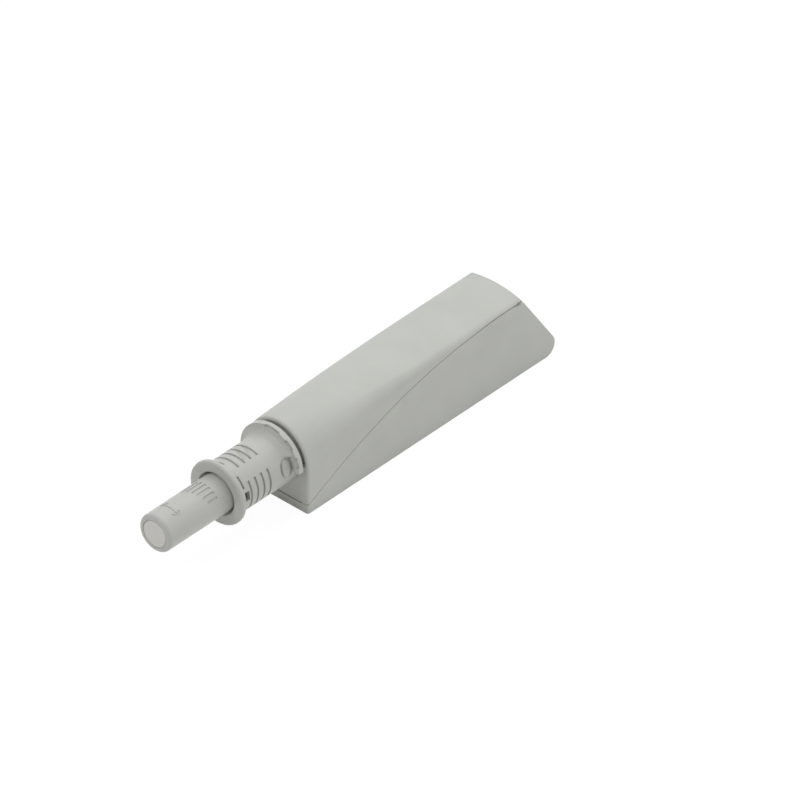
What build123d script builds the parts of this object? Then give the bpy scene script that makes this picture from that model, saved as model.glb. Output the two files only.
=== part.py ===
from build123d import *
import math
import os

# Touch latch in a screw-on housing, millimetres.
# Z = 0 is the mounting plane, the latch axis runs along Y, and the plunger points to -Y.
# The origin is midway between the two screw holes.
# Inside the functions Y = 0 is the front face of the cover, and save() shifts to the origin.

# How far cutting shapes pass the faces they cut, and flats in a turned edge rounding
CUT_OVER = 1.0
FAR = 100.0
ROUND_STEPS = 3

# Latch axis and general clearances
AXIS_HEIGHT = 9.42
RUNNING_GAP = 0.08
LOOSE_GAP = 0.3
PRESS_GAP = 0.02
END_GAP = 0.05

# Screw holes in the floor of the base
SCREW_PITCH = 17.0
FRONT_SCREW_Y = 5.3
SCREW_HOLE_R = 1.9
SCREW_HEAD_R = 3.5
SCREW_BOSS_R = 4.2
SCREW_SEAT_Z = 1.0

# Outer form of the housing
HALF_WIDTH = 6.75
SHOULDER_REAR_R = 1.2
SHOULDER_REAR_Z = 13.5
SIDE_DRAFT_REAR = 3.0
CROWN_ANGLE_FRONT = 45.0
CROWN_ANGLE_REAR = 75.9
BLEND_LENGTH = 34.0
BLEND_POWER = 1.6
BLEND_STATIONS = 6
REAR_BOTTOM_Y = 63.75
REAR_LEAN = 33.15
REAR_BOW = 0.6
REAR_CORNER_R = 2.2
FRONT_EDGE_R = 0.45

# Curved seam between cover and base
SEAM_TOP_Z = 14.07
SEAM_TOP_Y = 50.0
SEAM_R = 107.0
SEAM_GAP = 0.1
PRY_NOTCH_LENGTH = 2.0
PRY_NOTCH_RISE = 0.18
PRY_NOTCH_DROP = 0.3
PRY_NOTCH_DEPTH = 1.3

# Walls of the housing
COVER_WALL = 1.1
INNER_CORNER_SHARE = 0.2
FRONT_WALL = 1.4
FRONT_RECESS_RISE = 1.1
FRONT_RECESS_DEPTH = 0.9
FLOOR = 1.6
REAR_WALL = 1.3
RIB_THICKNESS = 1.2
RIB_LOW_Z = 8.2
FRONT_RIBS_Y = (10.0, 22.0)
SADDLES_Y = (33.0, 43.0)

# Rear hinge of the cover
HINGE_Y = 56.05
HINGE_Z = 9.0
KNUCKLE_R = 1.5
KNUCKLE_SWING_GAP = 0.5
TRUNNION_R = 0.9
TRUNNION_LENGTH = 0.75

# Barrel
BARREL_R = 5.0
BARREL_WALL = 0.8
BARREL_REAR_Y = 48.0
COLLAR_RISE = 1.05
COLLAR_FRONT_Y = -15.2
COLLAR_THICKNESS = 1.1
COLLAR_EDGE_R = 0.4
FRONT_LIP = 2.0
FLANGE_SIDE_GAP = 0.11
FLANGE_FRONT_Y = -2.1
FLANGE_REAR_Y = -1.0
FLANGE_FILLET_R = 1.55
FLANGE_RIM = 0.44
FLANGE_FILLET_ANGLES = (-90.0, 58.0)
FLANGE_SLOT_DEPTH = 0.3
FLANGE_SLOTS = ((-10.0, 18.0), (33.0, 50.0), (63.0, 81.0))
NOTCH_ANGLE = -42.0
NOTCH_WIDTH = 0.55
NOTCH_DEPTH = 0.35
MOUTH_RISE = 0.45
MOUTH_DEPTH = 0.9

# Grip grooves around the barrel, angles from the top towards +X
GROOVE_WIDTH = 0.44
GROOVE_DEPTH = 0.3
GROOVE_PITCH = 1.53
GROOVE_FIRST_Y = -7.2
GROOVE_COUNT = 4
GROOVE_PATCHES = ((-80.0, 22.0), (55.0, 122.0), (160.0, 235.0))
SHORT_GROOVES = ((-25.0, 0.0), (37.0, 64.0))
WINDOW_FRONT_Y = -13.3
WINDOW_REAR_Y = -12.3
WINDOW_ANGLES = (73.0, 93.0)
RING_MARK_Y = -3.2
RING_MARK_ANGLE = 78.0
RING_MARK_HALF_LENGTH = 2.1
RING_MARK_HALF_WIDTH = 1.4
RING_MARK_LINE = 0.48
RING_MARK_DEPTH = 0.38

# Plunger
PLUNGER_R = 3.585
NOSE_Y = -30.3
NOSE_R = 0.6
HEAD_REAR_Y = -9.0
STEM_FLATS = 4.4
NECK_R = 1.0
STROKE = 12.5
BUFFER_R = 2.54
BUFFER_DEPTH = 1.6
BUFFER_GROOVE = 0.08
BUFFER_GROOVE_DEPTH = 0.1
BUFFER_EDGE = 0.1
BAR_ANGLES = (-28.0, -13.0, 3.0, 18.0, 35.0, 51.0)
BAR_REAR_Y = -18.0
BAR_LONG = 4.0
BAR_SHORT = 2.2
BAR_WIDTH = 0.42
BAR_DEPTH = 0.13
MARK_WIDTH = 0.34
MARK_DEPTH = 0.08
MARK_SHAFT_Y = -26.8
MARK_ANGLES = (-28.0, 36.0)
MARK_HEAD_ANGLE = 12.0
MARK_HEAD_RISE = 0.9

# Adjusting sleeve and its coarse thread
SLEEVE_FRONT_Y = 5.2
SLEEVE_LENGTH = 7.8
THREAD_PITCH = 5.0
THREAD_R = 0.35
THREAD_GROOVE_R = 0.45
THREAD_SIDES = 6
ADJUST_FORWARD = 4.0
ADJUST_BACK = 1.0
SLEEVE_NECK_STEP = 1.17
SLEEVE_BEAD = 0.8
SLEEVE_BEAD_RISE = 0.25

# Latch carrier with the heart-shaped track
CARRIER_WALL = 0.72
CARRIER_FRONT_WALL = 2.0
CARRIER_REAR_WALL = 1.4
CARRIER_REAR_Y = 45.5
KEY_WIDTH = 1.2
KEY_HEIGHT = 0.3
KEY_LENGTH = 22.0
TRACK_ANGLE = 40.0
RETURN_ANGLE = -25.0
TRACK_CUT_R = 0.8
TRACK_SKIN = 0.24
TRACK_NOTCH_ANGLES = (5.0, 17.0)
TRACK_NOTCH_DEPTH = 0.9

# Cam slider, control ring and spring seat
SLIDER_FRONT_Y = 18.0
SLIDER_DISC = 1.5
RING_WALL = 1.3
RING_LENGTH = 2.9
PIN_R = 0.6
SEAT_THICKNESS = 1.4
SPIGOT_R = 1.55
SPIGOT_LENGTH = 1.1
CLIP_THICKNESS = 0.5
CLIP_SIDE_GAP = 0.2
CLIP_GROOVE_R = 0.75
CLIP_SLOT = 1.2
NECK_TAIL = 0.6

# Return spring, its guide and the end cap
SPRING_SIDE_GAP = 0.8
SPRING_WIRE_R = 0.25
SPRING_TURNS = 6
SPRING_WIRE_SIDES = 6
GUIDE_FLANGE_GAP = 0.4
GUIDE_FLANGE = 0.8
GUIDE_PIN_R = 1.3
GUIDE_PIN_LENGTH = 3.6
CAP_FLANGE_STEP = 0.1
CAP_FLANGE = 1.0
CAP_PLUG = 1.3

# Places that follow from the sizes above
FACE_Y = -(FRONT_SCREW_Y + SCREW_PITCH / 2)
SHELL_TOP_Z = AXIS_HEIGHT + HALF_WIDTH
PLUNGER_HOLE_R = PLUNGER_R + RUNNING_GAP
BARREL_BORE_R = BARREL_R - BARREL_WALL
COLLAR_R = BARREL_R + COLLAR_RISE
FLANGE_R = HALF_WIDTH - FLANGE_SIDE_GAP
FLANGE_SLOT_R = FLANGE_R - FLANGE_RIM
CAP_FLANGE_R = BARREL_R - CAP_FLANGE_STEP
BARREL_SEAT_R = BARREL_R + PRESS_GAP
BASE_INNER_HALF = BARREL_R + LOOSE_GAP
TAIL_HALF = BASE_INNER_HALF - SEAM_GAP
SLEEVE_R = BARREL_BORE_R - RUNNING_GAP
SLEEVE_NECK_R = SLEEVE_R - SLEEVE_NECK_STEP
SLEEVE_BEAD_R = SLEEVE_NECK_R + SLEEVE_BEAD_RISE
SLEEVE_REAR_Y = SLEEVE_FRONT_Y + SLEEVE_LENGTH
CARRIER_R = BARREL_BORE_R - RUNNING_GAP
CARRIER_BORE_R = CARRIER_R - CARRIER_WALL
TRACK_FLOOR_R = CARRIER_R - TRACK_SKIN
PIN_REACH_R = TRACK_FLOOR_R - RUNNING_GAP
CARRIER_FRONT_Y = SLEEVE_REAR_Y + END_GAP
CARRIER_INNER_FRONT_Y = CARRIER_FRONT_Y + CARRIER_FRONT_WALL
CARRIER_INNER_REAR_Y = CARRIER_REAR_Y - CARRIER_REAR_WALL
STEM_REAR_Y = SLIDER_FRONT_Y - END_GAP
RING_FRONT_Y = SLIDER_FRONT_Y + SLIDER_DISC
PIN_Y = RING_FRONT_Y + RING_LENGTH / 2
SEAT_FRONT_Y = RING_FRONT_Y + RING_LENGTH
SEAT_REAR_Y = SEAT_FRONT_Y + SEAT_THICKNESS
SPIGOT_REAR_Y = SEAT_REAR_Y + SPIGOT_LENGTH
CLIP_FRONT_Y = SPIGOT_REAR_Y + END_GAP
NECK_REAR_Y = CLIP_FRONT_Y + CLIP_THICKNESS + NECK_TAIL
GUIDE_FRONT_Y = CARRIER_INNER_REAR_Y - GUIDE_FLANGE
TRACK_R = (CARRIER_R + CARRIER_BORE_R) / 2
GUIDE_FLANGE_R = CARRIER_BORE_R - GUIDE_FLANGE_GAP
SPRING_COIL_R = CARRIER_BORE_R - SPRING_SIDE_GAP - SPRING_WIRE_R
CLIP_R = SPRING_COIL_R - SPRING_WIRE_R - CLIP_SIDE_GAP
RING_NECK_R = CARRIER_BORE_R - RING_WALL


def turned(*points):
    """Solid of revolution about the latch axis from (radius, y) points."""
    profile = make_face(Polyline(*points, close=True))
    return Pos(0, 0, AXIS_HEIGHT) * revolve(profile, Axis.Y)


def rod(radius, y_front, y_rear):
    """Plain round bar on the latch axis."""
    return turned((0, y_front), (radius, y_front), (radius, y_rear), (0, y_rear))


def tube(r_outer, r_inner, y_front, y_rear):
    """Plain round tube on the latch axis."""
    return turned((r_inner, y_front), (r_outer, y_front), (r_outer, y_rear), (r_inner, y_rear))


def rounded(y, radius, corner_r, side):
    """(radius, y) points of a round outer edge: side -1 for a front edge, 1 for a rear one."""
    angles = [math.radians(90 * step / ROUND_STEPS) for step in range(ROUND_STEPS + 1)]
    points = [(radius - corner_r + corner_r * math.sin(angle),
               y - side * corner_r + side * corner_r * math.cos(angle)) for angle in angles]
    return points if side < 0 else points[::-1]


def sector(profile, angle_from, angle_to):
    """Sweep a (y, radius) face about the latch axis, angles from the top towards +X."""
    face = Plane.YZ * profile
    ring = revolve(face, Axis.Y, revolution_arc=angle_to - angle_from)
    return Pos(0, 0, AXIS_HEIGHT) * Rot(0, angle_from, 0) * ring


def ring_cut(r_low, r_high, y_front, y_rear, angles):
    """Curved bar between two radii, two Y values and two angles."""
    corners = ((y_front, r_low), (y_rear, r_low), (y_rear, r_high), (y_front, r_high))
    return sector(make_face(Polyline(*corners, close=True)), *angles)


def block(x_half, y_front, y_rear, z_low, z_high):
    """Box centred on X = 0."""
    box = Box(2 * x_half, y_rear - y_front, z_high - z_low)
    return Pos(0, (y_front + y_rear) / 2, (z_low + z_high) / 2) * box


def helix_bar(bar_r, coil_r, pitch, y_front, y_rear, angle, sides=8):
    """Many-sided bar along a right-hand helix about the latch axis, from the given angle."""
    path = Helix(pitch=pitch, height=y_rear - y_front, radius=coil_r, direction=(0, 1, 0))
    start = path @ 0
    turn = angle - math.degrees(math.atan2(start.X, start.Z))
    profile = Plane(origin=start, z_dir=path % 0) * RegularPolygon(bar_r, sides)
    bar = sweep(profile, path=path, is_frenet=True)
    return Pos(0, y_front, AXIS_HEIGHT) * Rot(0, turn, 0) * bar


def blend(y):
    """Share of the way from the round front section to the flat-topped rear section."""
    left = max(0.0, 1 - y / BLEND_LENGTH)
    return 1 - left ** BLEND_POWER


def housing_section(y, wall=0.0):
    """Closed section of the housing at one Y: straight sides, two shoulders and a crown."""
    share = blend(y)
    shoulder = HALF_WIDTH + (SHOULDER_REAR_R - HALF_WIDTH) * share
    centre_z = AXIS_HEIGHT + (SHOULDER_REAR_Z - AXIS_HEIGHT) * share
    lean = math.radians(SIDE_DRAFT_REAR * share)
    top = math.radians(CROWN_ANGLE_FRONT + (CROWN_ANGLE_REAR - CROWN_ANGLE_FRONT) * share)
    centre_x = HALF_WIDTH - centre_z * math.tan(lean) - shoulder / math.cos(lean)
    crown = centre_x / math.cos(top) + shoulder
    crown_z = centre_z + (shoulder - crown) * math.sin(top)
    shoulder = max(shoulder - wall, INNER_CORNER_SHARE * shoulder)
    crown -= wall

    def on_shoulder(angle):
        return centre_x + shoulder * math.cos(angle), centre_z + shoulder * math.sin(angle)

    foot = (HALF_WIDTH - wall / math.cos(lean), 0)
    side = on_shoulder(lean)
    middle = on_shoulder((lean + top) / 2)
    joint = on_shoulder(top)
    right = [Line(foot, side), ThreePointArc(side, middle, joint)]
    crown_arc = ThreePointArc(joint, (0, crown_z + crown), (-joint[0], joint[1]))
    left = [mirror(edge, about=Plane.YZ) for edge in right]
    base_line = Line((-foot[0], foot[1]), foot)
    outline = make_face(Curve() + right + [crown_arc] + left + [base_line])
    return Plane(origin=(0, y, 0), x_dir=(1, 0, 0), z_dir=(0, -1, 0)) * outline


def housing_form(wall=0.0):
    """Whole outer form of the housing, or its inner form at one wall thickness."""
    stations = [BLEND_LENGTH * i / (BLEND_STATIONS - 1) for i in range(BLEND_STATIONS)]
    sections = [housing_section(y, wall).face() for y in stations]
    rear = extrude(sections[-1], amount=REAR_BOTTOM_Y - BLEND_LENGTH, dir=(0, 1, 0))
    return loft(sections) + rear


def outer_form():
    """Outer form of the housing with its front edge rounded above the floor."""
    form = housing_form()
    front = form.edges().group_by(Axis.Y)[0]
    return fillet([edge for edge in front if edge.center().Z > FLOOR], FRONT_EDGE_R)


def side_slab(points, x_half=HALF_WIDTH + CUT_OVER):
    """Slab across the whole width from (y, z) points."""
    face = Plane.YZ * make_face(Polyline(*points, close=True))
    return extrude(face, amount=x_half, both=True)


def end_plane_y(z, inward=0.0):
    """Y of the slanted rear end at one height, moved inward by a wall."""
    lean = math.radians(REAR_LEAN)
    return REAR_BOTTOM_Y - z * math.tan(lean) - inward / math.cos(lean)


def end_trim():
    """Room of the housing up to its slanted, bowed end with the round lower corner."""
    lean = math.radians(REAR_LEAN)
    bow_r = (HALF_WIDTH ** 2 + REAR_BOW ** 2) / (2 * REAR_BOW)
    centre = (0, REAR_BOTTOM_Y - bow_r * math.cos(lean), -bow_r * math.sin(lean))
    bow = Pos(*centre) * Rot(REAR_LEAN, 0, 0) * Cylinder(bow_r, 2 * FAR)
    room = bow & block(HALF_WIDTH + CUT_OVER, 0, FAR, 0, SHELL_TOP_Z + CUT_OVER)
    corner = room.edges().group_by(Axis.Z)[0].sort_by(Axis.Y)[-1]
    return fillet(corner, REAR_CORNER_R)


def seam_drop(y):
    """How far the seam lies below its highest line."""
    reach = max(0.0, SEAM_TOP_Y - y)
    return SEAM_R - math.sqrt(SEAM_R ** 2 - reach ** 2)


def above_seam(lift=0.0):
    """Everything above the seam, which is an arc that runs out level at the rear."""
    top = SEAM_TOP_Z + lift
    start = (0, top - seam_drop(0))
    middle = (SEAM_TOP_Y / 2, top - seam_drop(SEAM_TOP_Y / 2))
    arc = ThreePointArc(start, middle, (SEAM_TOP_Y, top))
    rest = Polyline((SEAM_TOP_Y, top), (FAR, top), (FAR, FAR),
                    (-CUT_OVER, FAR), (-CUT_OVER, start[1]), start)
    face = Plane.YZ * make_face(arc + rest)
    return extrude(face, amount=HALF_WIDTH + CUT_OVER, both=True)


def hinge_rod(radius, x_half):
    """Round bar across the housing on the hinge line."""
    return Pos(0, HINGE_Y, HINGE_Z) * Rot(0, 90, 0) * Cylinder(radius, 2 * x_half)


def screw_places():
    """The two screw holes, front first."""
    return [Pos(0, FRONT_SCREW_Y + i * SCREW_PITCH, 0) for i in range(2)]


def screw_cutter():
    """Through hole with a countersunk seat that reaches the top of its boss."""
    head_z = SCREW_SEAT_Z + SCREW_HEAD_R - SCREW_HOLE_R
    hole = Pos(0, 0, SCREW_SEAT_Z / 2) * Cylinder(SCREW_HOLE_R, SCREW_SEAT_Z + 2 * CUT_OVER)
    seat = Pos(0, 0, (SCREW_SEAT_Z + head_z) / 2) * Cone(
        SCREW_HOLE_R, SCREW_HEAD_R, head_z - SCREW_SEAT_Z)
    return hole + seat


def base_hollow():
    """Space inside the base, open at the top and at the front."""
    low = (-CUT_OVER, FLOOR)
    rear_low = (end_plane_y(FLOOR, REAR_WALL), FLOOR)
    rear_high = (end_plane_y(SHELL_TOP_Z, REAR_WALL), SHELL_TOP_Z)
    return side_slab((low, rear_low, rear_high, (-CUT_OVER, SHELL_TOP_Z)), BASE_INNER_HALF)


def knuckle_room(gap):
    """Room between the cheeks for the tail of the cover and its knuckle."""
    half = TAIL_HALF + gap
    low = HINGE_Z
    inner = ((end_plane_y(FAR, REAR_WALL + gap), FAR), (end_plane_y(low, REAR_WALL + gap), low))
    points = inner + ((REAR_BOTTOM_Y, low), (REAR_BOTTOM_Y, FAR))
    return side_slab(points, half) + hinge_rod(KNUCKLE_R + KNUCKLE_SWING_GAP, half)


def pry_notch(side):
    """Cutter for the notch at the rear end of the seam, on one side."""
    rear = end_plane_y(SEAM_TOP_Z, REAR_BOW)
    low, high = SEAM_TOP_Z - PRY_NOTCH_DROP, SEAM_TOP_Z + PRY_NOTCH_RISE
    wedge = ((rear - PRY_NOTCH_LENGTH, SEAM_TOP_Z), (rear - PRY_NOTCH_LENGTH / 2, high),
             (FAR, high), (FAR, low), (rear - PRY_NOTCH_LENGTH / 2, low))
    return Pos(side * HALF_WIDTH, 0, 0) * side_slab(wedge, PRY_NOTCH_DEPTH)


def adapter_base(form, trim):
    """Screw-on tray: floor, rising side walls, slanted end wall and hinge cheeks."""
    body = (form & trim) - above_seam()
    body -= base_hollow()
    head_z = SCREW_SEAT_Z + SCREW_HEAD_R - SCREW_HOLE_R
    for place in screw_places():
        body += place * Pos(0, 0, head_z / 2) * Cylinder(SCREW_BOSS_R, head_z)
    body -= block(BASE_INNER_HALF, -CUT_OVER, FRONT_WALL + SEAM_GAP, FLOOR, SHELL_TOP_Z)
    for place in screw_places():
        body -= place * screw_cutter()
    for side in (-1, 1):
        body -= pry_notch(side)
    body -= knuckle_room(SEAM_GAP)
    body -= hinge_rod(TRUNNION_R + RUNNING_GAP / 2, TAIL_HALF + TRUNNION_LENGTH + END_GAP)
    return body


def cover_rib(y_front, inner):
    """Cross rib that holds the barrel in the cover."""
    rib = block(HALF_WIDTH, y_front, y_front + RIB_THICKNESS, RIB_LOW_Z, SHELL_TOP_Z)
    return rib & inner


def cover_saddle(y_front):
    """Hanging saddle that grips the rear half of the barrel between the base walls."""
    return block(TAIL_HALF, y_front, y_front + RIB_THICKNESS, AXIS_HEIGHT, SEAM_TOP_Z + END_GAP)


def cover_tail(form, trim):
    """Slanted skin between the cheeks that runs down to the hinge knuckle."""
    low = HINGE_Z + KNUCKLE_R * math.sin(math.radians(REAR_LEAN))
    high = SEAM_TOP_Z + SEAM_GAP + END_GAP
    outer = ((end_plane_y(low), low), (end_plane_y(high), high))
    inner = ((end_plane_y(high, REAR_WALL), high), (end_plane_y(low, REAR_WALL), low))
    skin = side_slab(outer + inner, TAIL_HALF) & form
    pins = hinge_rod(TRUNNION_R, TAIL_HALF + TRUNNION_LENGTH)
    return ((skin + hinge_rod(KNUCKLE_R, TAIL_HALF)) & trim) + pins


def adapter_cover(form, trim):
    """Domed shell with the front wall, the barrel seats and the hinged tail."""
    inner = housing_form(COVER_WALL)
    upper = above_seam(SEAM_GAP)
    hollow = inner & side_slab(((FRONT_WALL, 0), (FAR, 0), (FAR, FAR), (FRONT_WALL, FAR)))
    shell = ((form & trim) - hollow) & upper
    for y in FRONT_RIBS_Y:
        shell += cover_rib(y, inner) & above_seam(SEAM_GAP + LOOSE_GAP)
    for y in SADDLES_Y:
        shell += cover_saddle(y)
    shell += cover_tail(form, trim)
    for side in (-1, 1):
        shell -= pry_notch(side)
    recess_r = BARREL_SEAT_R + FRONT_RECESS_RISE
    shell -= ring_cut(BARREL_R, recess_r, -CUT_OVER, FRONT_RECESS_DEPTH, (-90, 90))
    return shell - rod(BARREL_SEAT_R, -CUT_OVER, BARREL_REAR_Y + CAP_FLANGE + LOOSE_GAP)


def half_flange():
    """Flange over the upper half of the barrel, with a hollow fillet in front."""
    foot_y = FLANGE_FRONT_Y - FLANGE_FILLET_R
    root_r = BARREL_R - LOOSE_GAP
    start = (foot_y, BARREL_R)
    end = (FLANGE_FRONT_Y, BARREL_R + FLANGE_FILLET_R)
    turn = math.sqrt(0.5) * FLANGE_FILLET_R
    middle = (foot_y + turn, BARREL_R + FLANGE_FILLET_R - turn)
    rest = Polyline(end, (FLANGE_FRONT_Y, root_r), (foot_y, root_r), start)
    web = make_face(ThreePointArc(start, middle, end) + rest)
    plate = ring_cut(root_r, FLANGE_R, FLANGE_FRONT_Y, FLANGE_REAR_Y, (-90, 90))
    return plate + sector(web, *FLANGE_FILLET_ANGLES)


def ring_mark():
    """Cutter for the plain oval ring on the side of the barrel."""
    inner_length = RING_MARK_HALF_LENGTH - RING_MARK_LINE
    inner_width = RING_MARK_HALF_WIDTH - RING_MARK_LINE
    outline = Ellipse(RING_MARK_HALF_LENGTH, RING_MARK_HALF_WIDTH)
    ring = extrude(outline - Ellipse(inner_length, inner_width), amount=CUT_OVER)
    on_top = Pos(0, RING_MARK_Y, BARREL_R - RING_MARK_DEPTH) * ring
    return Pos(0, 0, AXIS_HEIGHT) * Rot(0, RING_MARK_ANGLE, 0) * on_top


def grip_grooves():
    """Circumferential grooves in patches, and the short ones by the collar."""
    cuts = []
    r_low = BARREL_R - GROOVE_DEPTH
    for row in range(GROOVE_COUNT + 1):
        y = GROOVE_FIRST_Y - row * GROOVE_PITCH
        patches = GROOVE_PATCHES if row < GROOVE_COUNT else SHORT_GROOVES
        for angles in patches:
            half = GROOVE_WIDTH / 2
            cuts.append(ring_cut(r_low, BARREL_R + CUT_OVER, y - half, y + half, angles))
    return cuts


def barrel():
    """Barrel with collar, grooves, window, half flange, thread groove and keyway."""
    collar_rear = COLLAR_FRONT_Y + COLLAR_THICKNESS
    collar = turned((0, COLLAR_FRONT_Y), *rounded(COLLAR_FRONT_Y, COLLAR_R, COLLAR_EDGE_R, -1),
                    *rounded(collar_rear, COLLAR_R, COLLAR_EDGE_R, 1), (0, collar_rear))
    body = collar + rod(BARREL_R, COLLAR_FRONT_Y + COLLAR_THICKNESS / 2, BARREL_REAR_Y)
    body += half_flange()
    for angles in FLANGE_SLOTS:
        body -= ring_cut(FLANGE_SLOT_R, FLANGE_R + CUT_OVER, FLANGE_FRONT_Y - CUT_OVER,
                         FLANGE_FRONT_Y + FLANGE_SLOT_DEPTH, angles)
    for cut in grip_grooves():
        body -= cut
    body -= rod(BARREL_BORE_R, COLLAR_FRONT_Y + FRONT_LIP, FAR)
    body -= rod(PLUNGER_HOLE_R, COLLAR_FRONT_Y - CUT_OVER, FAR)
    mouth_rear = COLLAR_FRONT_Y + MOUTH_DEPTH
    body -= turned((0, COLLAR_FRONT_Y), (PLUNGER_HOLE_R + MOUTH_RISE, COLLAR_FRONT_Y),
                   (PLUNGER_HOLE_R, mouth_rear), (0, mouth_rear))
    body -= ring_mark()
    body -= ring_cut(PLUNGER_R, FAR, WINDOW_FRONT_Y, WINDOW_REAR_Y, WINDOW_ANGLES)
    notch = block(NOTCH_WIDTH / 2, COLLAR_FRONT_Y - CUT_OVER, COLLAR_FRONT_Y + FRONT_LIP + CUT_OVER,
                  0, PLUNGER_HOLE_R + NOTCH_DEPTH)
    body -= Pos(0, 0, AXIS_HEIGHT) * Rot(0, NOTCH_ANGLE, 0) * notch
    groove_front = SLEEVE_FRONT_Y - ADJUST_FORWARD - THREAD_PITCH / 4
    body -= helix_bar(THREAD_GROOVE_R, SLEEVE_R, THREAD_PITCH, groove_front,
                      SLEEVE_REAR_Y + ADJUST_BACK + THREAD_PITCH / 4,
                      360 * (groove_front - SLEEVE_FRONT_Y) / THREAD_PITCH, THREAD_SIDES)
    keyway = block(KEY_WIDTH / 2 + RUNNING_GAP, SLEEVE_REAR_Y + THREAD_PITCH / 2, FAR,
                   -(BARREL_BORE_R + KEY_HEIGHT), 0)
    return body - Pos(0, 0, AXIS_HEIGHT) * keyway


def end_cap():
    """Plug that closes the rear of the barrel."""
    plug = rod(BARREL_BORE_R - PRESS_GAP, BARREL_REAR_Y - CAP_PLUG, BARREL_REAR_Y)
    return plug + rod(CAP_FLANGE_R, BARREL_REAR_Y, BARREL_REAR_Y + CAP_FLANGE)


def stem_prism(flats, y_front, y_rear):
    """Six-sided bar on the latch axis by its size across flats."""
    outline = RegularPolygon(flats / 2, 6, major_radius=False)
    plane = Plane(origin=(0, y_front, AXIS_HEIGHT), x_dir=(1, 0, 0), z_dir=(0, 1, 0))
    return extrude(plane * outline, amount=y_rear - y_front)


def turn_mark():
    """Cutters for the plain double-ended turn arrow near the nose."""
    half = MARK_WIDTH / 2
    r_low = PLUNGER_R - MARK_DEPTH
    cuts = [ring_cut(r_low, FAR, MARK_SHAFT_Y - half, MARK_SHAFT_Y + half, MARK_ANGLES)]
    for tip, inward in ((MARK_ANGLES[0], 1), (MARK_ANGLES[1], -1)):
        for side in (-1, 1):
            cuts.append(mark_stroke(tip, tip + inward * MARK_HEAD_ANGLE, side))
    return cuts


def mark_stroke(tip_angle, tail_angle, side):
    """One stroke of an arrow head, cut straight across the curved surface."""
    mid = math.radians((tip_angle + tail_angle) / 2)
    span = PLUNGER_R * math.radians(abs(tail_angle - tip_angle))
    length = math.hypot(span, MARK_HEAD_RISE)
    swing = side * math.degrees(math.atan2(MARK_HEAD_RISE, span))
    if tail_angle < tip_angle:
        swing = -swing
    stroke = Box(length, MARK_WIDTH, 2 * MARK_DEPTH)
    middle_y = MARK_SHAFT_Y + side * MARK_HEAD_RISE / 2
    on_top = Pos(0, middle_y, PLUNGER_R) * Rot(0, 0, swing) * stroke
    return Pos(0, 0, AXIS_HEIGHT) * Rot(0, math.degrees(mid), 0) * on_top


def plunger():
    """Plunger: round head, six-sided stem and the neck that carries the clip."""
    head = turned((0, NOSE_Y), *rounded(NOSE_Y, PLUNGER_R, NOSE_R, -1),
                  (PLUNGER_R, HEAD_REAR_Y), (0, HEAD_REAR_Y))
    body = head + stem_prism(STEM_FLATS, HEAD_REAR_Y, STEM_REAR_Y)
    body += rod(NECK_R, STEM_REAR_Y, NECK_REAR_Y)
    body -= tube(NECK_R + CUT_OVER, CLIP_GROOVE_R, CLIP_FRONT_Y, CLIP_FRONT_Y + CLIP_THICKNESS)
    body -= rod(BUFFER_R, NOSE_Y, NOSE_Y + BUFFER_DEPTH)
    body -= rod(BUFFER_R + BUFFER_GROOVE, NOSE_Y, NOSE_Y + BUFFER_GROOVE_DEPTH)
    for place, angle in enumerate(BAR_ANGLES):
        length = BAR_LONG + (BAR_SHORT - BAR_LONG) * place / (len(BAR_ANGLES) - 1)
        bar = block(BAR_WIDTH / 2, BAR_REAR_Y - length, BAR_REAR_Y,
                    PLUNGER_R - BAR_DEPTH, PLUNGER_R + CUT_OVER)
        body -= Pos(0, 0, AXIS_HEIGHT) * Rot(0, angle, 0) * bar
    for cut in turn_mark():
        body -= cut
    return body


def nose_buffer():
    """Buffer disc set in the nose, flush with it."""
    rear = NOSE_Y + BUFFER_DEPTH
    return turned((0, NOSE_Y), (BUFFER_R - BUFFER_EDGE, NOSE_Y),
                  (BUFFER_R, NOSE_Y + BUFFER_EDGE), (BUFFER_R, rear), (0, rear))


def retaining_clip():
    """Open ring in the groove of the plunger neck."""
    ring = tube(CLIP_R, CLIP_GROOVE_R + PRESS_GAP, CLIP_FRONT_Y + PRESS_GAP,
                CLIP_FRONT_Y + CLIP_THICKNESS - PRESS_GAP)
    slot = block(CLIP_SLOT / 2, CLIP_FRONT_Y - CUT_OVER, NECK_REAR_Y, 0, FAR)
    return ring - Pos(0, 0, AXIS_HEIGHT) * slot


def adjusting_sleeve():
    """Sleeve with one coarse thread outside and a six-sided bore for the stem."""
    bead_front = CARRIER_INNER_FRONT_Y + END_GAP
    bead_rear = bead_front + SLEEVE_BEAD
    body = rod(SLEEVE_R, SLEEVE_FRONT_Y, SLEEVE_REAR_Y)
    body += rod(SLEEVE_NECK_R, SLEEVE_REAR_Y, bead_rear)
    body += rod(SLEEVE_BEAD_R, bead_front, bead_rear)
    margin = THREAD_PITCH / 8
    body += helix_bar(THREAD_R, SLEEVE_R, THREAD_PITCH, SLEEVE_FRONT_Y + margin,
                      SLEEVE_REAR_Y - margin, 360 * margin / THREAD_PITCH, THREAD_SIDES)
    return body - stem_prism(STEM_FLATS + RUNNING_GAP, SLEEVE_FRONT_Y - CUT_OVER,
                             bead_rear + CUT_OVER)


def radial_bar(radius, r_from, r_to, y, angle):
    """Round bar that points away from the latch axis."""
    bar = Pos(0, y, (r_from + r_to) / 2) * Cylinder(radius, r_to - r_from)
    return Pos(0, 0, AXIS_HEIGHT) * Rot(0, angle, 0) * bar


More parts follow.
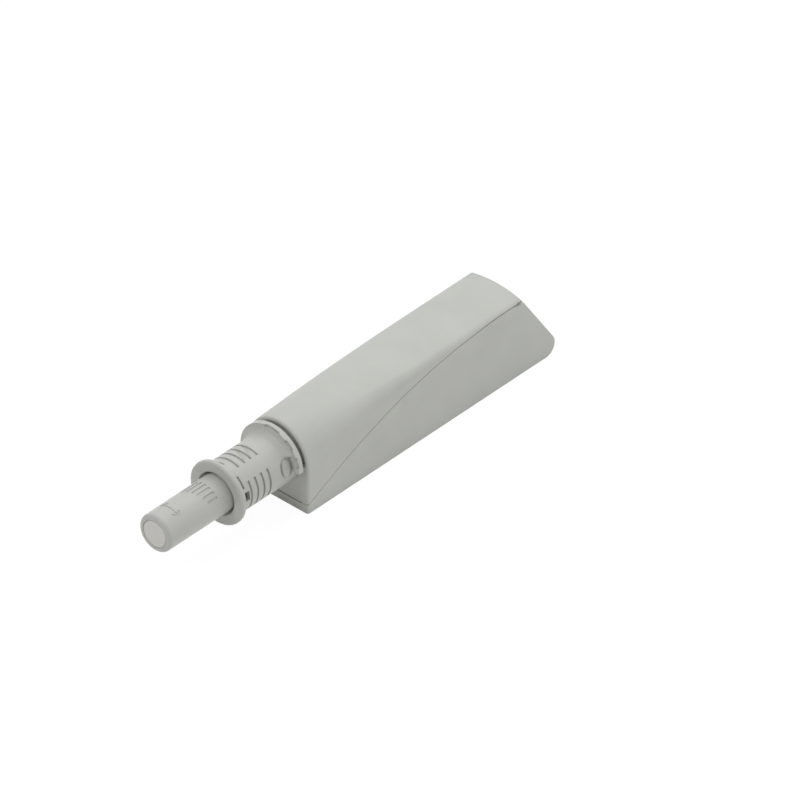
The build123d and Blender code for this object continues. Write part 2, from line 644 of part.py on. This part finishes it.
def track_leg(angle_from, angle_to):
    """Slanted leg of the track over the whole stroke."""
    turn = angle_to - angle_from
    pitch = abs(STROKE * 360 / turn)
    if turn > 0:
        return helix_bar(TRACK_CUT_R, TRACK_R, pitch, PIN_Y, PIN_Y + STROKE, angle_from)
    mirrored = helix_bar(TRACK_CUT_R, TRACK_R, pitch, PIN_Y, PIN_Y + STROKE, -angle_from)
    return mirror(mirrored, about=Plane.YZ)


def heart_track():
    """Cutters for the closed track in the bore: way in, latching notch and way out."""
    far_y = PIN_Y + STROKE
    r_low = CARRIER_BORE_R - CUT_OVER
    r_high = TRACK_FLOOR_R
    cuts = [track_leg(0, TRACK_ANGLE), track_leg(0, RETURN_ANGLE)]
    for y, angle in ((PIN_Y, 0), (far_y, TRACK_ANGLE), (far_y, RETURN_ANGLE)):
        cuts.append(radial_bar(TRACK_CUT_R, r_low, r_high, y, angle))
    cuts.append(ring_cut(r_low, r_high, far_y - TRACK_CUT_R, far_y + TRACK_CUT_R,
                         (RETURN_ANGLE, TRACK_ANGLE)))
    cuts.append(ring_cut(r_low, r_high, far_y - TRACK_CUT_R - TRACK_NOTCH_DEPTH, far_y,
                         TRACK_NOTCH_ANGLES))
    floor = rod(TRACK_FLOOR_R, CARRIER_INNER_FRONT_Y, CARRIER_INNER_REAR_Y)
    return [cut & floor for cut in cuts]


def latch_carrier():
    """Keyed inner sleeve with the heart-shaped track in its bore."""
    body = rod(CARRIER_R, CARRIER_FRONT_Y, CARRIER_REAR_Y)
    body -= rod(CARRIER_BORE_R, CARRIER_INNER_FRONT_Y, CARRIER_INNER_REAR_Y)
    body -= rod(SLEEVE_NECK_R + RUNNING_GAP / 2, CARRIER_FRONT_Y - CUT_OVER, CARRIER_INNER_FRONT_Y)
    for cut in heart_track():
        body -= cut
    key_rear = CARRIER_REAR_Y - ADJUST_BACK
    key = block(KEY_WIDTH / 2, key_rear - KEY_LENGTH, key_rear,
                -(CARRIER_R + KEY_HEIGHT - RUNNING_GAP), -(CARRIER_R - KEY_HEIGHT))
    return body + Pos(0, 0, AXIS_HEIGHT) * key


def cam_slider():
    """Slider: front disc, neck for the control ring and spigot for the spring seat."""
    body = rod(CARRIER_BORE_R - RUNNING_GAP, SLIDER_FRONT_Y, RING_FRONT_Y)
    body += rod(RING_NECK_R, RING_FRONT_Y, SEAT_FRONT_Y)
    body += rod(SPIGOT_R, SEAT_FRONT_Y, SPIGOT_REAR_Y)
    return body - rod(NECK_R + RUNNING_GAP / 2, SLIDER_FRONT_Y - CUT_OVER, SPIGOT_REAR_Y + CUT_OVER)


def control_ring():
    """Ring that turns on the slider, with the pin that runs in the track."""
    outer = CARRIER_BORE_R - RUNNING_GAP
    inner = RING_NECK_R + RUNNING_GAP / 2
    ring = tube(outer, inner, RING_FRONT_Y + END_GAP, SEAT_FRONT_Y - END_GAP)
    return ring + radial_bar(PIN_R, (outer + inner) / 2, PIN_REACH_R, PIN_Y, 0)


def spring_seat():
    """Ring pressed on the spigot that seats the spring."""
    return tube(CARRIER_BORE_R - RUNNING_GAP, SPIGOT_R + PRESS_GAP, SEAT_FRONT_Y, SEAT_REAR_Y)


def return_spring():
    """Compression spring between the seat and the flange of the guide."""
    front = SEAT_REAR_Y + SPRING_WIRE_R
    rear = GUIDE_FRONT_Y - SPRING_WIRE_R
    pitch = (rear - front) / SPRING_TURNS
    return helix_bar(SPRING_WIRE_R, SPRING_COIL_R, pitch, front, rear, 0, SPRING_WIRE_SIDES)


def spring_guide():
    """Flanged pin that centres the spring at the rear of the carrier."""
    pin = rod(GUIDE_PIN_R, GUIDE_FRONT_Y - GUIDE_PIN_LENGTH, GUIDE_FRONT_Y)
    return pin + rod(GUIDE_FLANGE_R, GUIDE_FRONT_Y, CARRIER_INNER_REAR_Y)


def save(name, shape):
    """Shift a piece to the origin between the screw holes and write it."""
    export_step(Pos(0, FACE_Y, 0) * shape, f"parts/{name}.step")


def main():
    os.makedirs("parts", exist_ok=True)
    form = outer_form()
    trim = end_trim()
    save("adapter_base", adapter_base(form, trim))
    save("adapter_cover", adapter_cover(form, trim))
    save("barrel", barrel())
    save("end_cap", end_cap())
    save("plunger", plunger())
    save("nose_buffer", nose_buffer())
    save("retaining_clip", retaining_clip())
    save("adjusting_sleeve", adjusting_sleeve())
    save("latch_carrier", latch_carrier())
    save("cam_slider", cam_slider())
    save("control_ring", control_ring())
    save("spring_seat", spring_seat())
    save("return_spring", return_spring())
    save("spring_guide", spring_guide())


main()
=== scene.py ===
import math

import bpy
from bpy.props import FloatProperty, FloatVectorProperty, PointerProperty
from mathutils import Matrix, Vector


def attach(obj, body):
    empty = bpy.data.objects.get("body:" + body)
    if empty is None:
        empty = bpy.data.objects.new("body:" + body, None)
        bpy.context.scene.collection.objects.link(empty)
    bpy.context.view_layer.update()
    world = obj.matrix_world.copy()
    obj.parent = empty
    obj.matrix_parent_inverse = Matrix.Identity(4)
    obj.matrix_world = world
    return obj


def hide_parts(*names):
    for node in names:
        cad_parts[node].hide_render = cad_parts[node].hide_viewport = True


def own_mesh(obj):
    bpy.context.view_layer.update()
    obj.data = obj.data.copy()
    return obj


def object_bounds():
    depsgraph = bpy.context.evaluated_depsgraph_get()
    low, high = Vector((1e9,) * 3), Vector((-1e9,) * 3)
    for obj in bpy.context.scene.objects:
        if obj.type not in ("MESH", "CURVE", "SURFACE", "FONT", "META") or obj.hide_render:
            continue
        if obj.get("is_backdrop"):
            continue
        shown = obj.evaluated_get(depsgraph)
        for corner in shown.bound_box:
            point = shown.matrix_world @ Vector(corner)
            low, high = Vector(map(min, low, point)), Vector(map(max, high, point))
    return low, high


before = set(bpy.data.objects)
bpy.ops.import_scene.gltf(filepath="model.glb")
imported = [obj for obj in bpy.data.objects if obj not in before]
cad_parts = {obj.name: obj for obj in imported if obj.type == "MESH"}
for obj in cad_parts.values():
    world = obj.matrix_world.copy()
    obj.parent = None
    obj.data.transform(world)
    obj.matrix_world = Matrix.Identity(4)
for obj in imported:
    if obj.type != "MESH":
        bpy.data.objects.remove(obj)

bl_info = {
    "name": "Touch Latch",
    "version": (1, 0, 0),
    "blender": (4, 5, 0),
    "location": "View3D > Sidebar > Touch Latch",
    "description": "Moulded plastic finishes, studio and camera for a touch latch in its "
                   "screw-on adapter",
    "category": "Object",
}

# The imported solids carry every form of the latch. This file gives them their finishes: the
# spark-eroded grain of the two adapter shells, the smoother barrel and plunger, the softer nose
# buffer and the hidden moving pieces. Only the return spring gets a mesh of its own, a copy
# that rides with the carrier.

SIDEBAR_TAB = "Touch Latch"

# Where most values of a noise pattern lie, stretched over the whole range of what it drives
NOISE_LOW, NOISE_HIGH = 0.3, 0.7

# Moulded plastic: width of the faint colour patches, how far the roughness goes up and down,
# refraction, and the samples that round off an edge
MOTTLE_WIDTH = 0.006
GLOSS_CHANGE = 0.06
PLASTIC_IOR = 1.49
EDGE_SAMPLES = 6

# Drawn spring wire: width of its streaks and of the specks of oil, how much the specks change
# its colour, depth of the streaks and the roughness from the brightest to the dullest
STREAK_WIDTH = 0.0004
OIL_WIDTH = 0.003
OIL_CHANGE = 0.1
WIRE_RELIEF = 0.00001
WIRE_ROUGHNESS = (0.22, 0.42)

# Studio: the floor's paper, its faint patches, and the directions that the two lamps shine from
PAPER_COLOUR = (0.84, 0.84, 0.83)
PAPER_ROUGHNESS = 0.9
PAPER_SHINE = 0.1
PATCH_WIDTH = 0.05
PATCH_CHANGE = 0.01
REAR_LAMP_FROM = (-0.17, 0.59, 0.79)
FRONT_LAMP_FROM = (-0.17, -0.62, 0.77)

# Camera: sensor width in millimetres and how far it sees, in metres
SENSOR_WIDTH = 36
CLIP_END = 100

HOUSING_SHELLS = ("adapter_base", "adapter_cover")
BARREL_PIECES = ("barrel", "end_cap")
HIDDEN_PIECES = ("latch_carrier", "spring_guide", "adjusting_sleeve", "retaining_clip",
                 "cam_slider", "spring_seat", "control_ring")


class FinishSettings(bpy.types.PropertyGroup):
    """Colours and grain of the latch's plastics and steel."""

    housing_colour: FloatVectorProperty(
        name="Housing", description="Light warm grey of the base and cover",
        subtype="COLOR", size=3, min=0, max=1, default=(0.535, 0.545, 0.508))
    latch_colour: FloatVectorProperty(
        name="Barrel and plunger", description="Grey of the latch barrel, end cap and plunger",
        subtype="COLOR", size=3, min=0, max=1, default=(0.525, 0.528, 0.498))
    buffer_colour: FloatVectorProperty(
        name="Nose buffer", description="Grey of the soft plastic disc that meets the door",
        subtype="COLOR", size=3, min=0, max=1, default=(0.690, 0.680, 0.645))
    hidden_colour: FloatVectorProperty(
        name="Hidden pieces", description="Natural white of the slider, ring and carrier",
        subtype="COLOR", size=3, min=0, max=1, default=(0.690, 0.680, 0.640))
    steel_colour: FloatVectorProperty(
        name="Spring steel", description="Colour of the drawn spring wire",
        subtype="COLOR", size=3, min=0, max=1, default=(0.560, 0.560, 0.570))
    grain_size: FloatProperty(
        name="Grain size", description="Width of one grain of the moulded texture",
        subtype="DISTANCE", unit="LENGTH", min=0, default=0.00022)
    grain_depth: FloatProperty(
        name="Grain depth", description="Depth of the moulded texture",
        subtype="DISTANCE", unit="LENGTH", min=0, default=0.000009)
    edge_radius: FloatProperty(
        name="Edge rounding", description="Radius at which the moulded edges catch the light",
        subtype="DISTANCE", unit="LENGTH", min=0, default=0.00018)


class StageSettings(bpy.types.PropertyGroup):
    """Floor, lamps and camera of the studio."""

    floor_width: FloatProperty(
        name="Floor width", description="Width of the square studio floor",
        subtype="DISTANCE", unit="LENGTH", min=0, default=4)
    floor_shade: FloatProperty(
        name="Floor shadow", description="How much of the floor's own light and shadow shows",
        subtype="FACTOR", min=0, max=1, default=0.12)
    floor_glow: FloatProperty(
        name="Floor glow", description="White that the camera sees on the floor", min=0,
        default=1.07)
    sky_strength: FloatProperty(
        name="Sky strength", description="Soft light from all round", min=0, default=0.64)
    sky_tilt: FloatProperty(
        name="Sky tilt", description="How much brighter the sky is behind the rear end than "
        "before the nose", subtype="FACTOR", min=0, max=1, default=0.9)
    rear_strength: FloatProperty(
        name="Rear lamp strength", description="Strength of the soft lamp above the rear end",
        min=0, default=0.47)
    front_strength: FloatProperty(
        name="Front lamp strength", description="Strength of the soft lamp above the nose",
        min=0, default=0.8)
    rear_spread: FloatProperty(
        name="Rear lamp width", description="Apparent width of the lamp above the rear end",
        subtype="ANGLE", unit="ROTATION", min=0, default=math.radians(50))
    front_spread: FloatProperty(
        name="Front lamp width", description="Apparent width of the lamp above the nose",
        subtype="ANGLE", unit="ROTATION", min=0, default=math.radians(30))
    view_azimuth: FloatProperty(
        name="View azimuth",
        description="Camera's turn from the nose towards the latch's right side",
        subtype="ANGLE", unit="ROTATION", default=math.radians(42.6))
    view_elevation: FloatProperty(
        name="View elevation", description="Camera's height above the horizon",
        subtype="ANGLE", unit="ROTATION", default=math.radians(37.2))
    view_target: FloatVectorProperty(
        name="View target", description="Point in the middle of the picture",
        subtype="XYZ", unit="LENGTH", size=3, default=(-0.0001, 0.01635, 0.00363))
    view_distance: FloatProperty(
        name="View distance", description="Camera's distance from the target",
        subtype="DISTANCE", unit="LENGTH", min=0, default=6)
    view_width: FloatProperty(
        name="View width", description="Width of the picture at the target",
        subtype="DISTANCE", unit="LENGTH", min=0, default=0.13396)


def new_nodes(material):
    """The node tree of a material, emptied."""
    material.use_nodes = True
    material.node_tree.nodes.clear()
    return material.node_tree


def add_node(tree, kind, **values):
    """One shader node, with its sockets and settings set by name."""
    node = tree.nodes.new(kind)
    for name, value in values.items():
        if name in node.inputs:
            node.inputs[name].default_value = value
        else:
            setattr(node, name, value)
    return node


def noise(tree, place, width, detail=2):
    """Noise with patches about as wide as width, in metres."""
    texture = add_node(tree, "ShaderNodeTexNoise", Scale=1 / width, Detail=detail)
    tree.links.new(place.outputs["Object"], texture.inputs["Vector"])
    return texture.outputs["Fac"]


def stretched(tree, source, old_ends, new_ends):
    """A value carried over from one range to another, and held at its ends."""
    node = add_node(tree, "ShaderNodeMapRange")
    for name, value in zip(("From Min", "From Max", "To Min", "To Max"), old_ends + new_ends):
        node.inputs[name].default_value = value
    tree.links.new(source, node.inputs["Value"])
    return node.outputs["Result"]


def spread(tree, source, low, high):
    """A noise pattern stretched to run from low to high."""
    return stretched(tree, source, (NOISE_LOW, NOISE_HIGH), (low, high))


def send_out(tree, result, kind="ShaderNodeOutputMaterial"):
    """Joins the finished shader to a new output node."""
    output = add_node(tree, kind)
    tree.links.new(result, output.inputs["Surface"])


def tinted(tree, source, colour, change):
    """Colour that drifts by the share given by change, lighter and darker, over a pattern."""
    ramp = add_node(tree, "ShaderNodeValToRGB")
    ends = ramp.color_ramp.elements
    ends[0].position, ends[1].position = NOISE_LOW, NOISE_HIGH
    ends[0].color = [c * (1 - change) for c in colour] + [1]
    ends[1].color = [min(1, c * (1 + change)) for c in colour] + [1]
    tree.links.new(source, ramp.inputs["Fac"])
    return ramp.outputs["Color"]


def moulded_plastic(name, colour, settings, roughness, grain=1, depth=1, drift=0.03):
    """Moulded plastic: mottled colour, uneven gloss, fine grain and softly rounded edges."""
    material = bpy.data.materials.new(name)
    tree = new_nodes(material)
    place = add_node(tree, "ShaderNodeTexCoord")
    shader = add_node(tree, "ShaderNodeBsdfPrincipled", IOR=PLASTIC_IOR)
    mottling = noise(tree, place, MOTTLE_WIDTH, detail=4)
    grain_pattern = noise(tree, place, settings.grain_size * grain, detail=3)
    tree.links.new(tinted(tree, mottling, colour, drift), shader.inputs["Base Color"])
    tree.links.new(
        spread(tree, grain_pattern, roughness - GLOSS_CHANGE, roughness + GLOSS_CHANGE),
        shader.inputs["Roughness"])
    edges = add_node(tree, "ShaderNodeBevel", Radius=settings.edge_radius)
    edges.samples = EDGE_SAMPLES
    bump = add_node(tree, "ShaderNodeBump", Strength=1, Distance=settings.grain_depth * depth)
    tree.links.new(grain_pattern, bump.inputs["Height"])
    tree.links.new(edges.outputs["Normal"], bump.inputs["Normal"])
    tree.links.new(bump.outputs["Normal"], shader.inputs["Normal"])
    send_out(tree, shader.outputs["BSDF"])
    return material


def drawn_steel(name, colour):
    """Bright drawn wire with faint streaks and specks of dull oil."""
    material = bpy.data.materials.new(name)
    tree = new_nodes(material)
    place = add_node(tree, "ShaderNodeTexCoord")
    shader = add_node(tree, "ShaderNodeBsdfPrincipled", Metallic=1)
    streaks = noise(tree, place, STREAK_WIDTH, detail=3)
    tree.links.new(tinted(tree, noise(tree, place, OIL_WIDTH), colour, OIL_CHANGE),
                   shader.inputs["Base Color"])
    tree.links.new(spread(tree, streaks, *WIRE_ROUGHNESS), shader.inputs["Roughness"])
    bump = add_node(tree, "ShaderNodeBump", Strength=0.5, Distance=WIRE_RELIEF)
    tree.links.new(streaks, bump.inputs["Height"])
    tree.links.new(bump.outputs["Normal"], shader.inputs["Normal"])
    send_out(tree, shader.outputs["BSDF"])
    return material


def seen_directly(tree):
    """1 for rays that show the stage itself, straight or in a reflection, and 0 for its light."""
    path = add_node(tree, "ShaderNodeLightPath")
    total = path.outputs["Is Camera Ray"]
    for name in ("Is Glossy Ray", "Is Transmission Ray"):
        either = add_node(tree, "ShaderNodeMath", operation="MAXIMUM")
        tree.links.new(total, either.inputs[0])
        tree.links.new(path.outputs[name], either.inputs[1])
        total = either.outputs["Value"]
    return total


def white_floor(name, shade, strength):
    """Pale floor that looks white to the camera and keeps a share of the latch's shadow."""
    material = bpy.data.materials.new(name)
    tree = new_nodes(material)
    place = add_node(tree, "ShaderNodeTexCoord")
    paper = add_node(tree, "ShaderNodeBsdfPrincipled", Roughness=PAPER_ROUGHNESS)
    paper.inputs["Specular IOR Level"].default_value = PAPER_SHINE
    patches = noise(tree, place, PATCH_WIDTH)
    tree.links.new(tinted(tree, patches, PAPER_COLOUR, PATCH_CHANGE),
                   paper.inputs["Base Color"])
    glow = add_node(tree, "ShaderNodeEmission", Strength=strength)
    share = add_node(tree, "ShaderNodeMath", operation="MULTIPLY")
    tree.links.new(seen_directly(tree), share.inputs[0])
    share.inputs[1].default_value = 1 - shade
    mix = add_node(tree, "ShaderNodeMixShader")
    tree.links.new(share.outputs["Value"], mix.inputs["Fac"])
    tree.links.new(paper.outputs["BSDF"], mix.inputs[1])
    tree.links.new(glow.outputs["Emission"], mix.inputs[2])
    send_out(tree, mix.outputs["Shader"])
    return material


def soft_sky(world, strength, tilt):
    """Soft light, far stronger from the rear than from the front, plain white to the camera."""
    world.use_nodes = True
    tree = world.node_tree
    tree.nodes.clear()
    place = add_node(tree, "ShaderNodeTexCoord")
    parts = add_node(tree, "ShaderNodeSeparateXYZ")
    tree.links.new(place.outputs["Generated"], parts.inputs["Vector"])
    level = stretched(tree, parts.outputs["Y"], (-1, 1),
                      (strength * (1 - tilt), strength * (1 + tilt)))
    light = add_node(tree, "ShaderNodeBackground", Color=(1, 1, 1, 1))
    tree.links.new(level, light.inputs["Strength"])
    backdrop = add_node(tree, "ShaderNodeBackground", Color=(1, 1, 1, 1), Strength=1)
    mix = add_node(tree, "ShaderNodeMixShader")
    tree.links.new(seen_directly(tree), mix.inputs["Fac"])
    tree.links.new(light.outputs["Background"], mix.inputs[1])
    tree.links.new(backdrop.outputs["Background"], mix.inputs[2])
    send_out(tree, mix.outputs["Shader"], "ShaderNodeOutputWorld")


def finish_nodes(names, material):
    """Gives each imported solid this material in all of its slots."""
    for name in names:
        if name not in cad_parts:
            raise RuntimeError("the frame has no solid named " + name)
        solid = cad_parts[name]
        if not solid.material_slots:
            solid.data.materials.append(None)
        for slot in solid.material_slots:
            slot.link = "OBJECT"
            slot.material = material


class FinishHousing(bpy.types.Operator):
    """Give the screwed base and its hinged cover their grained light grey plastic"""

    bl_idname = "touch_latch.finish_housing"
    bl_label = "Housing Shells"

    def execute(self, context):
        settings = context.scene.latch_finish
        material = moulded_plastic("housing_plastic", settings.housing_colour, settings,
                                   roughness=0.46)
        finish_nodes(HOUSING_SHELLS, material)
        return {"FINISHED"}


class FinishBarrel(bpy.types.Operator):
    """Give the barrel and its end cap their smoother grey plastic"""

    bl_idname = "touch_latch.finish_barrel"
    bl_label = "Barrel"

    def execute(self, context):
        settings = context.scene.latch_finish
        material = moulded_plastic("barrel_plastic", settings.latch_colour, settings,
                                   roughness=0.42, grain=1.3, depth=0.7)
        finish_nodes(BARREL_PIECES, material)
        return {"FINISHED"}


class FinishPlunger(bpy.types.Operator):
    """Give the sliding plunger its plain plastic and the nose its softer buffer"""

    bl_idname = "touch_latch.finish_plunger"
    bl_label = "Plunger and Nose Buffer"

    def execute(self, context):
        settings = context.scene.latch_finish
        plunger = moulded_plastic("plunger_plastic", settings.latch_colour, settings,
                                  roughness=0.40, grain=1.5, depth=0.6)
        finish_nodes(("plunger",), plunger)
        buffer = moulded_plastic("buffer_plastic", settings.buffer_colour, settings,
                                 roughness=0.58, grain=0.8, depth=0.8, drift=0.02)
        finish_nodes(("nose_buffer",), buffer)
        return {"FINISHED"}


class FinishHiddenPieces(bpy.types.Operator):
    """Give the pieces inside the barrel their natural white plastic"""

    bl_idname = "touch_latch.finish_hidden_pieces"
    bl_label = "Hidden Pieces"

    def execute(self, context):
        settings = context.scene.latch_finish
        material = moulded_plastic("inner_plastic", settings.hidden_colour, settings,
                                   roughness=0.34, grain=2, depth=0.4)
        finish_nodes(HIDDEN_PIECES, material)
        return {"FINISHED"}


class WindSpring(bpy.types.Operator):
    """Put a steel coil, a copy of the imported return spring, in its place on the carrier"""

    bl_idname = "touch_latch.wind_spring"
    bl_label = "Return Spring"

    def execute(self, context):
        coil = bpy.data.objects.new("return_spring_coil",
                                    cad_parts["return_spring"].data.copy())
        coil.data.materials.clear()
        coil.data.materials.append(
            drawn_steel("spring_steel", context.scene.latch_finish.steel_colour))
        context.scene.collection.objects.link(coil)
        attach(coil, "carrier")
        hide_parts("return_spring")
        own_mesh(coil)
        return {"FINISHED"}


def lay_floor(settings, height):
    """A square floor at the given height, marked as stage."""
    half = settings.floor_width / 2
    mesh = bpy.data.meshes.new("studio_floor")
    corners = [(-half, -half, height), (half, -half, height),
               (half, half, height), (-half, half, height)]
    mesh.from_pydata(corners, [], [(0, 1, 2, 3)])
    floor = bpy.data.objects.new("studio_floor", mesh)
    floor.data.materials.append(
        white_floor("studio_white", settings.floor_shade, settings.floor_glow))
    bpy.context.scene.collection.objects.link(floor)
    floor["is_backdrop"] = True


def hang_lamp(name, towards, strength, spread_angle):
    """A broad soft lamp that shines from the direction given."""
    lamp = bpy.data.lights.new(name, "SUN")
    lamp.energy = strength
    lamp.angle = spread_angle
    lamp_object = bpy.data.objects.new(name, lamp)
    lamp_object.rotation_euler = Vector(towards).to_track_quat("Z", "Y").to_euler()
    bpy.context.scene.collection.objects.link(lamp_object)


def place_camera(settings):
    """A long lens at the photograph's angle, wide enough for the whole latch."""
    turn, rise = settings.view_azimuth, settings.view_elevation
    back = Vector((math.sin(turn) * math.cos(rise), -math.cos(turn) * math.cos(rise),
                   math.sin(rise)))
    lens = bpy.data.cameras.new("studio_camera")
    lens.sensor_width = SENSOR_WIDTH
    lens.lens = lens.sensor_width * settings.view_distance / settings.view_width
    lens.clip_end = CLIP_END
    camera = bpy.data.objects.new("studio_camera", lens)
    camera.location = Vector(settings.view_target) + back * settings.view_distance
    camera.rotation_euler = back.to_track_quat("Z", "Y").to_euler()
    bpy.context.scene.collection.objects.link(camera)
    bpy.context.scene.camera = camera


class BuildStage(bpy.types.Operator):
    """Lay the floor, hang the soft lamps and set the camera at the photograph's angle"""

    bl_idname = "touch_latch.build_stage"
    bl_label = "Studio"

    def execute(self, context):
        settings = context.scene.latch_stage
        place_camera(settings)
        lay_floor(settings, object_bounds()[0][2])
        hang_lamp("rear_lamp", REAR_LAMP_FROM, settings.rear_strength, settings.rear_spread)
        hang_lamp("front_lamp", FRONT_LAMP_FROM, settings.front_strength, settings.front_spread)
        if context.scene.world is None:
            context.scene.world = bpy.data.worlds.new("studio_sky")
        soft_sky(context.scene.world, settings.sky_strength, settings.sky_tilt)
        context.scene.view_settings.view_transform = "Standard"
        return {"FINISHED"}


PIECE_OPERATORS = (FinishHousing, FinishBarrel, FinishPlunger, FinishHiddenPieces, WindSpring)


class LatchPanel(bpy.types.Panel):
    """Steps and settings of the touch latch"""

    bl_idname = "TOUCH_LATCH_PT_steps"
    bl_label = "Touch Latch"
    bl_space_type = "VIEW_3D"
    bl_region_type = "UI"
    bl_category = SIDEBAR_TAB

    def draw(self, context):
        layout = self.layout
        for settings in (context.scene.latch_finish, context.scene.latch_stage):
            box = layout.box()
            for name in settings.__annotations__:
                box.prop(settings, name)
        for operator in PIECE_OPERATORS + (BuildStage,):
            layout.operator(operator.bl_idname)


CLASSES = (FinishSettings, StageSettings) + PIECE_OPERATORS + (BuildStage, LatchPanel)


def register():
    for item in CLASSES:
        bpy.utils.register_class(item)
    bpy.types.Scene.latch_finish = PointerProperty(type=FinishSettings)
    bpy.types.Scene.latch_stage = PointerProperty(type=StageSettings)


def unregister():
    del bpy.types.Scene.latch_stage
    del bpy.types.Scene.latch_finish
    for item in reversed(CLASSES):
        bpy.utils.unregister_class(item)


def main():
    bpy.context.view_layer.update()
    register()
    bpy.ops.touch_latch.finish_housing()
    bpy.ops.touch_latch.finish_barrel()
    bpy.ops.touch_latch.finish_plunger()
    bpy.ops.touch_latch.finish_hidden_pieces()
    bpy.ops.touch_latch.wind_spring()
    bpy.ops.touch_latch.build_stage()


if __name__ == "__main__":
    main()
